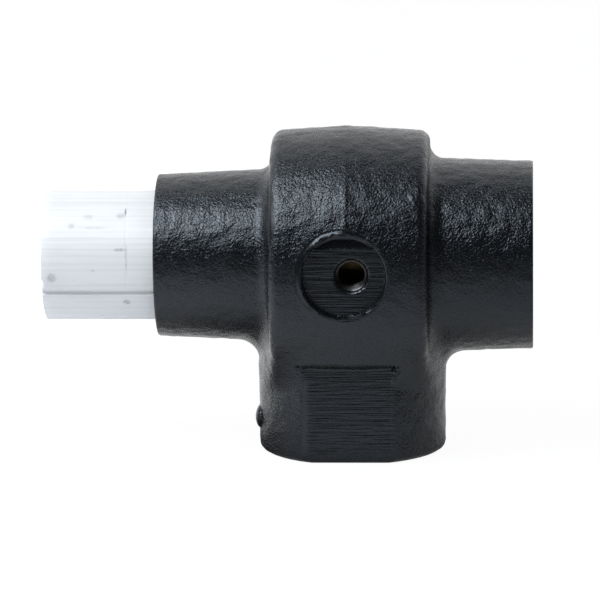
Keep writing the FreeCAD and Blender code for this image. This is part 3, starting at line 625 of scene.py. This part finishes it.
def thread(name, centre, along, start, end, radius, pitch, depth, steps=48):
    """The ridge of a female thread inside a round wall; steps are points per turn."""
    along = Vector(along)
    side = along.orthogonal().normalized()
    other = along.cross(side)
    turns = (end - start) / pitch
    count = int(turns * steps)
    # The ridge's section, as (along the axis, inwards from the wall), both over the depth.
    section = ((-0.62, -0.06), (-0.10, 1.0), (0.10, 1.0), (0.62, -0.06))
    piece = bmesh.new()
    rings = []
    for i in range(count + 1):
        angle = math.tau * turns * i / count
        # The ridge grows out of the wall over half a turn at each end.
        grow = min(1.0, i / (steps / 2), (count - i) / (steps / 2))
        outward = side * math.cos(angle) + other * math.sin(angle)
        ring = []
        for shift, inwards in section:
            out = radius - depth * (inwards if inwards < 0 else inwards * grow)
            place = start + (end - start) * i / count + shift * depth
            ring.append(piece.verts.new(Vector(centre) + along * place + outward * out))
        rings.append(ring)
    return solid(name, piece, rings)


def new_finish(name, colour, metallic, roughness, **sockets):
    """A material with its shader's own values set."""
    material = bpy.data.materials.new(name)
    material.use_nodes = True
    shader = material.node_tree.nodes["Principled BSDF"]
    shader.inputs["Base Color"].default_value = (*colour, 1)
    shader.inputs["Metallic"].default_value = metallic
    shader.inputs["Roughness"].default_value = roughness
    for socket, value in sockets.items():
        shader.inputs[socket.replace("_", " ")].default_value = value
    return material


def pattern(material, kind, scale, stretch=(1, 1, 1), **values):
    """A texture laid over the piece's own coordinates; scale is per metre."""
    tree = material.node_tree
    place = tree.nodes.new("ShaderNodeTexCoord")
    mapping = tree.nodes.new("ShaderNodeMapping")
    mapping.inputs["Scale"].default_value = stretch
    texture = tree.nodes.new("ShaderNodeTex" + kind)
    texture.inputs["Scale"].default_value = scale
    for socket, value in values.items():
        texture.inputs[socket.replace("_", " ")].default_value = value
    tree.links.new(place.outputs["Object"], mapping.inputs["Vector"])
    tree.links.new(mapping.outputs["Vector"], texture.inputs["Vector"])
    return texture.outputs["Distance" if kind == "Voronoi" else 0]


def ramp(material, source, stops):
    """A colour ramp over source: stops are (place, colour or grey)."""
    node = material.node_tree.nodes.new("ShaderNodeValToRGB")
    material.node_tree.links.new(source, node.inputs[0])
    elements = node.color_ramp.elements
    while len(elements) < len(stops):
        elements.new(0.5)
    for element, (place, colour) in zip(elements, stops):
        element.position = place
        element.color = (colour, colour, colour, 1) if isinstance(colour, (int, float)) else (*colour, 1)
    return node.outputs[0]


def mixed(material, share, first, second):
    """A colour between two sources by a share."""
    node = material.node_tree.nodes.new("ShaderNodeMix")
    node.data_type = "RGBA"
    for socket, value in (("Factor_Float", share), ("A_Color", first), ("B_Color", second)):
        target = next(item for item in node.inputs if item.identifier == socket)
        if isinstance(value, bpy.types.NodeSocket):
            material.node_tree.links.new(value, target)
        else:
            target.default_value = value if isinstance(value, float) else (*value, 1)
    return next(item for item in node.outputs if item.identifier == "Result_Color")


def calculate(material, operation, *values):
    """The result of a sum over sockets and plain numbers."""
    node = material.node_tree.nodes.new("ShaderNodeMath")
    node.operation = operation
    for value, target in zip(values, node.inputs):
        if isinstance(value, bpy.types.NodeSocket):
            material.node_tree.links.new(value, target)
        else:
            target.default_value = value
    return node.outputs[0]


def product(material, first, second):
    """Two numbers multiplied."""
    return calculate(material, "MULTIPLY", first, second)


def spread(material, source, low, high, start, end):
    """A number that runs from start to end as source runs from low to high."""
    node = material.node_tree.nodes.new("ShaderNodeMapRange")
    material.node_tree.links.new(source, node.inputs["Value"])
    node.inputs["From Min"].default_value = low
    node.inputs["From Max"].default_value = high
    node.inputs["To Min"].default_value = start
    node.inputs["To Max"].default_value = end
    return node.outputs[0]


def scaled_length(material, source, scale, shift):
    """Length of a vector after it is scaled along each axis and shifted."""
    tree = material.node_tree
    moved = tree.nodes.new("ShaderNodeVectorMath")
    moved.operation = "MULTIPLY_ADD"
    tree.links.new(source, moved.inputs[0])
    moved.inputs[1].default_value = scale
    moved.inputs[2].default_value = shift
    measured = tree.nodes.new("ShaderNodeVectorMath")
    measured.operation = "LENGTH"
    tree.links.new(moved.outputs[0], measured.inputs[0])
    return measured.outputs["Value"]


def near(material, place, reach):
    """One at a place on the piece, falling to nothing at its reach along each axis."""
    scale = Vector(1 / share for share in reach)
    source = material.node_tree.nodes.new("ShaderNodeTexCoord").outputs["Object"]
    away = scaled_length(material, source, scale, -Vector(place) * scale)
    return spread(material, away, 0.4, 1.0, 1.0, 0.0)


def stored(material, name):
    """The number that a mesh stores per vertex under that name."""
    node = material.node_tree.nodes.new("ShaderNodeAttribute")
    node.attribute_name = name
    return node.outputs["Fac"]


def dress_shader(material, colour=None, roughness=None, heights=()):
    """Feed the shader's colour, its roughness and its bumps: heights are (source, metres)."""
    tree = material.node_tree
    shader = tree.nodes["Principled BSDF"]
    if colour:
        tree.links.new(colour, shader.inputs["Base Color"])
    if roughness:
        tree.links.new(roughness, shader.inputs["Roughness"])
    last = None
    for source, depth in heights:
        bump = tree.nodes.new("ShaderNodeBump")
        bump.inputs["Distance"].default_value = depth
        tree.links.new(source, bump.inputs["Height"])
        if last:
            tree.links.new(last, bump.inputs["Normal"])
        last = bump.outputs[0]
    if last:
        tree.links.new(last, shader.inputs["Normal"])
    return material


def shade(colour, share):
    """A colour made darker or lighter by a share."""
    return tuple(min(1, part * share) for part in colour)


def tinted(material, source, colour, low, high):
    """The colour times low where source is small and times high where it is large."""
    return ramp(material, source, ((0.3, shade(colour, low)), (0.7, shade(colour, high))))


def give(piece, material):
    """Put one material on a piece."""
    piece.data.materials.clear()
    piece.data.materials.append(material)
    return piece


def enamel_finish(settings):
    """Black enamel sprayed over sand-cast iron, with milling lines where it covers machined faces."""
    material = new_finish("black_enamel", settings.enamel, 0.0, 0.25, IOR=1.52,
                          Specular_Tint=(0.80, 0.89, 1.0, 1.0))
    milled = stored(material, "milled")
    cast = stored(material, "cast")
    scale = 1 / settings.grain_size
    pebbles = pattern(material, "Noise", scale, Detail=2.5, Roughness=0.5, Distortion=0.6)
    cells = pattern(material, "Voronoi", scale * 0.42, Randomness=1.0)
    pits = ramp(material, cells, ((0.0, 0.0), (0.16, 1.0)))
    lines = pattern(material, "Noise", 1300, stretch=(0.04, 0.04, 1.0), Detail=2.0)
    drift = pattern(material, "Noise", 26, Detail=3.0)
    tone = tinted(material, drift, settings.enamel, 0.8, 1.25)
    dull = ramp(material, pebbles, ((0.35, settings.gloss + 0.07), (0.65, settings.gloss - 0.05)))
    return dress_shader(material, tone, dull, (
        (product(material, pebbles, cast), settings.grain_height),
        (product(material, pits, cast), settings.grain_height * 0.25),
        (product(material, pebbles, milled), settings.grain_height * 0.3),
        (product(material, lines, milled), settings.grain_height)))


def iron_finish():
    """Bare bored iron, dark and slightly oily, with fine tool rings."""
    material = new_finish("bored_iron", (0.20, 0.19, 0.18), 0.9, 0.42)
    stains = pattern(material, "Noise", 60, Detail=4.0)
    rings = pattern(material, "Noise", 1500, stretch=(1.0, 0.02, 0.02), Detail=1.0)
    colour = ramp(material, stains, ((0.3, (0.10, 0.09, 0.085)), (0.7, (0.27, 0.26, 0.25))))
    dull = ramp(material, stains, ((0.3, 0.5), (0.7, 0.34)))
    return dress_shader(material, colour, dull, ((rings, 0.00002), (stains, 0.0001)))


def thread_finish(name, grey):
    """Freshly cut thread flanks."""
    material = new_finish(name, (grey, grey, grey), 1.0, 0.36)
    marks = pattern(material, "Noise", 700, Detail=3.0)
    colour = ramp(material, marks, ((0.3, grey * 0.7), (0.7, grey * 1.25)))
    return dress_shader(material, colour, ramp(material, marks, ((0.3, 0.44), (0.7, 0.32))),
                        ((marks, 0.00002),))


def drawn_finish(settings):
    """Bare drawn aluminium with lines along the barrel, handling smudges and small nicks."""
    material = new_finish("drawn_aluminium", settings.barrel, 0.20, 0.68)
    lines = pattern(material, "Noise", 800, stretch=(0.015, 1.0, 1.0), Detail=4.0, Roughness=0.6)
    smudges = pattern(material, "Noise", 60, stretch=(0.4, 1.0, 1.0), Detail=5.0, Roughness=0.6)
    cells = pattern(material, "Voronoi", 140, stretch=(0.6, 1.0, 1.0), Randomness=1.0)
    nicks = ramp(material, cells, ((0.03, 0.0), (0.07, 1.0)))
    streaks = ramp(material, lines, ((0.3, shade(settings.barrel, 0.87)), (0.55, settings.barrel)))
    cloud = ramp(material, smudges, ((0.5, 0.0), (0.72, 0.28)))
    clouded = mixed(material, cloud, streaks, shade(settings.barrel, 0.70))
    marked = mixed(material, nicks, shade(settings.barrel, 0.72), clouded)
    worn = ramp(material, pattern(material, "Noise", 1600, Detail=2.0), ((0.35, 0.3), (0.55, 1.0)))
    # Dark spots: smudges, and dents whose shade is painted into the colour.
    for place, reach, strength in BARREL_MARKS:
        share = product(material, product(material, near(material, place, reach), worn), strength)
        marked = mixed(material, share, marked, (0.10, 0.10, 0.11))
    dull = ramp(material, smudges, ((0.3, 0.54), (0.7, 0.70)))
    return dress_shader(material, marked, dull, ((lines, 0.00006), (nicks, 0.00003)))


def turned_finish(name, colour, roughness):
    """A turned metal face with fine tool rings."""
    material = new_finish(name, colour, 1.0, roughness)
    marks = pattern(material, "Noise", 1200, stretch=(1.0, 0.05, 0.05), Detail=2.0)
    drift = pattern(material, "Noise", 70, Detail=3.0)
    tone = tinted(material, drift, colour, 0.82, 1.08)
    dull = ramp(material, marks, ((0.3, roughness + 0.08), (0.7, roughness - 0.06)))
    return dress_shader(material, tone, dull, ((marks, 0.00002),))


def steel_finish(name, colour, roughness):
    """Drawn or plated steel with a faint mottle."""
    material = new_finish(name, colour, 1.0, roughness)
    mottle = pattern(material, "Noise", 240, Detail=4.0)
    tone = tinted(material, mottle, colour, 0.75, 1.15)
    dull = ramp(material, mottle, ((0.3, roughness + 0.1), (0.7, roughness - 0.06)))
    return dress_shader(material, tone, dull, ((mottle, 0.00003),))


def soft_finish(name, colour, roughness):
    """Moulded rubber or plastic with a fine skin."""
    material = new_finish(name, colour, 0.0, roughness)
    skin = pattern(material, "Noise", 1400, Detail=3.0)
    drift = pattern(material, "Noise", 90, Detail=2.0)
    tone = tinted(material, drift, colour, 0.8, 1.3)
    dull = ramp(material, skin, ((0.3, roughness + 0.08), (0.7, roughness - 0.08)))
    return dress_shader(material, tone, dull, ((skin, 0.00002),))


class ValveLook(bpy.types.PropertyGroup):
    """Sizes and colours of the valve's outside."""
    voxel: FloatProperty(name="Mesh size", description="Edge length of the casting's mesh",
                         default=0.0007, min=0.0004, unit="LENGTH", precision=5)
    grain_size: FloatProperty(name="Grain size", description="Width of the cast surface's pebbles",
                              default=0.00092, unit="LENGTH", precision=5)
    grain_height: FloatProperty(name="Grain height", description="Height of the pebbles under the paint",
                                default=0.00032, unit="LENGTH", precision=5)
    swell_height: FloatProperty(name="Swell height",
                                description="Height of the broader unevenness of the casting",
                                default=0.00012, unit="LENGTH", precision=5)
    gloss: FloatProperty(name="Enamel roughness", description="Roughness of the black enamel",
                         default=0.22, subtype="FACTOR", min=0, max=1)
    enamel: FloatVectorProperty(name="Enamel", description="Colour of the paint on the casting",
                                default=(0.003, 0.0035, 0.0045), subtype="COLOR", min=0, max=1)
    barrel: FloatVectorProperty(name="Barrel", description="Colour of the bare aluminium barrel",
                                default=(0.56, 0.57, 0.59), subtype="COLOR", min=0, max=1)


class StageLook(bpy.types.PropertyGroup):
    """The floor, the lights and the camera."""
    floor: FloatVectorProperty(name="Floor", description="Colour of the floor",
                               default=(0.84, 0.86, 0.89), subtype="COLOR", min=0, max=1)
    key: FloatProperty(name="Softbox", description="Power of the large front softbox",
                       default=18.0, unit="POWER")
    side: FloatProperty(name="Left softbox", description="Power of the softbox on the left",
                        default=6.0, unit="POWER")
    azimuth: FloatProperty(name="Camera azimuth", description="Camera's turn to the right of the front",
                           default=math.radians(2.9), subtype="ANGLE")
    elevation: FloatProperty(name="Camera elevation", description="Camera's height above level",
                             default=math.radians(11.1), subtype="ANGLE")
    distance: FloatProperty(name="Camera distance", description="Camera to the point it looks at",
                            default=1.788, unit="LENGTH")
    roll: FloatProperty(name="Camera roll", description="Camera's tilt to one side",
                        default=math.radians(-0.6), subtype="ANGLE")
    lens: FloatProperty(name="Lens", description="Focal length", default=272.0, unit="CAMERA")


class VALVE_OT_casting(bpy.types.Operator):
    """Build the painted casting over the valve body"""
    bl_idname = "valve.casting"
    bl_label = "Casting"

    def execute(self, context):
        look = context.scene.valve_look
        piece = remeshed_copy("valve_body", "casting", look.voxel)
        points = settle(read_points(piece.data))
        bare = bore_share(points)
        milled = milled_share(points) * (1 - bare)
        cast = (1 - milled) * (1 - 0.8 * bare) * (1 - smooth_share(points))
        slope = gradient(points)
        slope /= np.maximum(length(*slope.T), 0.2)[:, None]
        broad = grain(points, BROAD_SWELL, 1)
        fine = grain(points, FINE_SWELL, 2)
        # Most of it goes inwards, so that the casting stays within the CAD's size.
        swell = look.swell_height * (broad + 0.6 * fine - 0.9)
        points = points + slope * (swell * cast)[:, None]
        low = np.array(CAD_BOX[0])
        high = np.array(CAD_BOX[1])
        write_points(piece.data, np.clip(points, low, high))
        set_attribute(piece.data, "milled", milled)
        set_attribute(piece.data, "cast", cast)
        piece.data.materials.clear()
        piece.data.materials.append(enamel_finish(look))
        piece.data.materials.append(iron_finish())
        corners = np.empty(len(piece.data.loops), dtype=np.int32)
        piece.data.loops.foreach_get("vertex_index", corners)
        starts = np.empty(len(piece.data.polygons), dtype=np.int32)
        piece.data.polygons.foreach_get("loop_start", starts)
        piece.data.polygons.foreach_set("material_index", (bare[corners[starts]] > 0.5).astype(np.int32))
        finish_mesh(piece, 50)
        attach(piece, ROOT)
        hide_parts("valve_body")
        return {"FINISHED"}


class VALVE_OT_threads(bpy.types.Operator):
    """Cut the pipe threads of the inlet, the outlet and the gauge port"""
    bl_idname = "valve.threads"
    bl_label = "Threads"

    def execute(self, context):
        bright = thread_finish("cut_thread", 0.24)
        # The gauge thread is nearly black: paint near the hole's mouth, and deeper in, painted shade for
        # the dim hole.
        painted = thread_finish("painted_and_shaded_thread", 0.05)
        first = PORT_LEAD + THREAD_START
        last = PORT_DEPTH - THREAD_RUNOUT
        inlet = thread("inlet_thread", (0, 0, AXIS_Z), (1, 0, 0),
                       RIGHT_END - last, RIGHT_END - first, PORT_RADIUS, *PIPE_THREAD)
        outlet = thread("outlet_thread", (0, 0, 0), (0, 0, 1), first, last, PORT_RADIUS, *PIPE_THREAD)
        gauge = thread("gauge_thread", (GAUGE_X, 0, AXIS_Z), (0, 1, 0),
                       *GAUGE_THREAD_ENDS, GAUGE_RADIUS, *GAUGE_THREAD)
        for piece, finish in ((inlet, bright), (outlet, bright), (gauge, painted)):
            give(finish_mesh(piece, 30), finish)
            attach(piece, ROOT)
        return {"FINISHED"}


class VALVE_OT_barrel(bpy.types.Operator):
    """Turn the aluminium barrel with its vent groove, seal groove and clip groove"""
    bl_idname = "valve.barrel"
    bl_label = "Spring barrel"

    def execute(self, context):
        piece = lathe("barrel", divided(barrel_outline(), BARREL_STEP), barrel_angles(), barrel_shape)
        give(finish_mesh(piece, 28), drawn_finish(context.scene.valve_look))
        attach(piece, ROOT)
        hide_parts("spring_barrel")
        return {"FINISHED"}


class VALVE_OT_springs(bpy.types.Operator):
    """Wind the main spring and the check spring with closed, ground ends"""
    bl_idname = "valve.springs"
    bl_label = "Springs"

    def execute(self, context):
        left, right, mean, wire, turns, closed = MAIN_SPRING
        line = coil_line(left, right, mean, wire, turns, closed)
        half = len(line) // 2
        # The main spring is made as a rear half and a front half.
        start = (left + wire, 0, AXIS_Z)
        middle = ((left + right) / 2, 0, AXIS_Z)
        end = (right - wire, 0, AXIS_Z)
        # The rear half stops just short of the front one, so that their ends don't share a face.
        short = tuple(0.02 * a + 0.98 * b for a, b in zip(line[half - 1], line[half]))
        steel = steel_finish("main_coil_steel", (0.30, 0.30, 0.31), 0.34)
        for name, part, bodies, ends in (
                ("main_coil_rear", line[:half] + [short], (ROOT, PLUG), (start, middle)),
                ("main_coil_front", line[half:], (PLUG, PISTON), (middle, end))):
            piece = finish_mesh(tube(name, part, wire, WIRE_SIDES), 60)
            ground(piece, left, right)
            give(piece, steel)
            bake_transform(piece)
            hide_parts("main_spring")
        left, right, mean, wire, turns, closed = CHECK_SPRING
        line = coil_line(left, right, mean, wire, turns, closed)
        piece = finish_mesh(tube("check_coil", line, wire, WIRE_SIDES), 60)
        ground(piece, left, right)
        give(piece, steel_finish("check_coil_steel", (0.30, 0.30, 0.31), 0.34))
        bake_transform(piece)
        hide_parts("check_spring")
        return {"FINISHED"}


class VALVE_OT_inner(bpy.types.Operator):
    """Give the inner pieces their metals, rubber and plastic"""
    bl_idname = "valve.inner"
    bl_label = "Inner pieces"

    def execute(self, context):
        finishes = {
            "stainless": turned_finish("stainless_steel", (0.56, 0.55, 0.53), 0.26),
            "zinc_steel": steel_finish("zinc_plated_steel", (0.62, 0.63, 0.65), 0.30),
            "spring_steel": steel_finish("phosphated_steel", (0.10, 0.10, 0.11), 0.42),
            "aluminium": turned_finish("turned_aluminium", (0.78, 0.79, 0.80), 0.28),
            "piston_aluminium": turned_finish("anodised_aluminium", (0.50, 0.51, 0.50), 0.34),
            "brass": turned_finish("brass", (0.42, 0.31, 0.17), 0.38),
            # The bronze is darker than bare bronze, painted shade for the dim chamber it sits in.
            "bronze": turned_finish("bronze", (0.15, 0.105, 0.07), 0.5),
            "guide_plastic": soft_finish("guide_plastic", (0.30, 0.20, 0.11), 0.45),
            "rubber": soft_finish("black_rubber", (0.018, 0.018, 0.02), 0.55),
        }
        for part in frame["record"]["subparts"]:
            node = NODES[part["node"]]
            if not node.hide_render:
                give(node, finishes[part["material_slot"]])
        return {"FINISHED"}


def outwards(azimuth, elevation):
    """The direction from the target at those angles: azimuth from the front to the right."""
    level = math.cos(elevation)
    return Vector((math.sin(azimuth) * level, -math.cos(azimuth) * level, math.sin(elevation)))


def add_lamp(name, power, width, height, azimuth, elevation):
    """A soft rectangular lamp that faces the target, its angles in degrees."""
    lamp = bpy.data.lights.new(name, "AREA")
    lamp.shape = "RECTANGLE"
    lamp.size = width
    lamp.size_y = height
    lamp.energy = power
    lamp.color = LAMP_COLOUR
    piece = add_object(name, lamp)
    direction = outwards(math.radians(azimuth), math.radians(elevation))
    piece.location = TARGET + direction * LAMP_DISTANCE
    piece.rotation_euler = direction.to_track_quat("Z", "Y").to_euler()
    return piece


class VALVE_OT_stage(bpy.types.Operator):
    """Set up the pale floor, the softboxes, the world and the camera"""
    bl_idname = "valve.stage"
    bl_label = "Stage"

    def execute(self, context):
        scene = context.scene
        look = scene.valve_stage
        self.make_floor(look)
        self.make_world(scene)
        add_lamp("front_softbox", look.key, *FRONT_LAMP)
        add_lamp("left_softbox", look.side, *LEFT_LAMP)
        self.make_camera(scene, look)
        scene.view_settings.view_transform = "Standard"
        return {"FINISHED"}

    def make_floor(self, look):
        """A pale sheet under the valve that stops short of the camera."""
        piece = bmesh.new()
        bmesh.ops.create_grid(piece, x_segments=8, y_segments=8, size=FLOOR_HALF)
        for corner in piece.verts:
            corner.co.y = max(corner.co.y, FLOOR_FRONT)
        bmesh.ops.remove_doubles(piece, verts=piece.verts, dist=0.001)
        floor = to_object("floor", piece)
        give(floor, self.floor_finish(look))

    def floor_finish(self, look):
        """Nearly white to the camera, a painted reflection with painted shade for polished pieces, and
        plain to diffuse light.
        """
        material = new_finish("pale_floor", look.floor, 0.0, 0.8)
        tree = material.node_tree
        cloud = pattern(material, "Noise", 3, Detail=2.0)
        dress_shader(material, tinted(material, cloud, look.floor, 0.99, 1.0))
        rays = tree.nodes.new("ShaderNodeLightPath")
        glow = tree.nodes.new("ShaderNodeEmission")
        blend = tree.nodes.new("ShaderNodeMixShader")
        point = tree.nodes.new("ShaderNodeNewGeometry").outputs["Position"]
        place = tree.nodes.new("ShaderNodeSeparateXYZ")
        tree.links.new(point, place.inputs[0])
        # Painted reflection: polished pieces see the floor glow, with a painted contact shadow under the
        # valve and painted shade to the right and towards the front.
        away = scaled_length(material, point, (8.0, 18.0, 0.0), (0.16, 0.0, 0.0))
        under = spread(material, away, 0.3, 1.0, 0.08, 1.0)
        right = spread(material, place.outputs["X"], -0.2, 0.2, 1.34, 0.36)
        front = spread(material, place.outputs["Y"], -0.45, -0.1, 0.3, 1.0)
        dark = product(material, under, product(material, right, front))
        camera = rays.outputs["Is Camera Ray"]
        shown = calculate(material, "MAXIMUM", dark, camera)
        tree.links.new(shown, glow.inputs["Strength"])
        share = calculate(material, "MULTIPLY_ADD", camera, 0.95, rays.outputs["Is Glossy Ray"])
        tree.links.new(share, blend.inputs[0])
        tree.links.new(tree.nodes["Principled BSDF"].outputs[0], blend.inputs[1])
        tree.links.new(glow.outputs[0], blend.inputs[2])
        tree.links.new(blend.outputs[0], tree.nodes["Material Output"].inputs["Surface"])
        return material

    def make_world(self, scene):
        """White to the camera. To the valve, a room with extra light for matt faces."""
        world = bpy.data.worlds.new("studio")
        scene.world = world
        world.use_nodes = True
        tree = world.node_tree
        tree.nodes.clear()
        output = tree.nodes.new("ShaderNodeOutputWorld")
        rays = tree.nodes.new("ShaderNodeLightPath")
        white = tree.nodes.new("ShaderNodeBackground")
        room = tree.nodes.new("ShaderNodeBackground")
        place = tree.nodes.new("ShaderNodeTexCoord")
        parts = tree.nodes.new("ShaderNodeSeparateXYZ")
        blend = tree.nodes.new("ShaderNodeMixShader")
        tree.links.new(place.outputs["Generated"], parts.inputs[0])
        # The room is bright behind the valve and nearly black in front of it.
        behind = spread(world, parts.outputs["Y"], 0.05, 0.35, 0.02, 1.0)
        bright = calculate(world, "MULTIPLY_ADD", rays.outputs["Is Diffuse Ray"], 0.5, behind)
        tree.links.new(bright, room.inputs["Strength"])
        for light in (white, room):
            light.inputs["Color"].default_value = (1, 1, 1, 1)
        tree.links.new(rays.outputs["Is Camera Ray"], blend.inputs[0])
        tree.links.new(room.outputs[0], blend.inputs[1])
        tree.links.new(white.outputs[0], blend.inputs[2])
        tree.links.new(blend.outputs[0], output.inputs[0])

    def make_camera(self, scene, look):
        """The camera, which looks at the target."""
        data = bpy.data.cameras.new("camera")
        data.lens = look.lens
        data.sensor_width = SENSOR_WIDTH
        camera = add_object("camera", data)
        direction = outwards(look.azimuth, look.elevation)
        camera.location = TARGET + direction * look.distance
        upright = direction.to_track_quat("Z", "Y")
        camera.rotation_euler = (upright @ Quaternion((0, 0, 1), look.roll)).to_euler()
        scene.camera = camera


class VALVE_PT_panel(bpy.types.Panel):
    """The valve's pieces and settings"""
    bl_idname = "VALVE_PT_panel"
    bl_label = "Minimum pressure valve"
    bl_space_type = "VIEW_3D"
    bl_region_type = "UI"
    bl_category = "Valve"

    def draw(self, context):
        for group in (context.scene.valve_look, context.scene.valve_stage):
            box = self.layout.box()
            for name in group.__annotations__:
                box.prop(group, name)
        for operator in OPERATORS:
            self.layout.operator(operator.bl_idname)


OPERATORS = (VALVE_OT_casting, VALVE_OT_threads, VALVE_OT_barrel, VALVE_OT_springs, VALVE_OT_inner,
             VALVE_OT_stage)
CLASSES = (ValveLook, StageLook, *OPERATORS, VALVE_PT_panel)


def register():
    for item in CLASSES:
        bpy.utils.register_class(item)
    bpy.types.Scene.valve_look = PointerProperty(type=ValveLook)
    bpy.types.Scene.valve_stage = PointerProperty(type=StageLook)


def unregister():
    del bpy.types.Scene.valve_stage
    del bpy.types.Scene.valve_look
    for item in reversed(CLASSES):
        bpy.utils.unregister_class(item)


def main():
    register()
    for name in ("casting", "threads", "barrel", "springs", "inner", "stage"):
        getattr(bpy.ops.valve, name)()


if __name__ == "__main__":
    main()
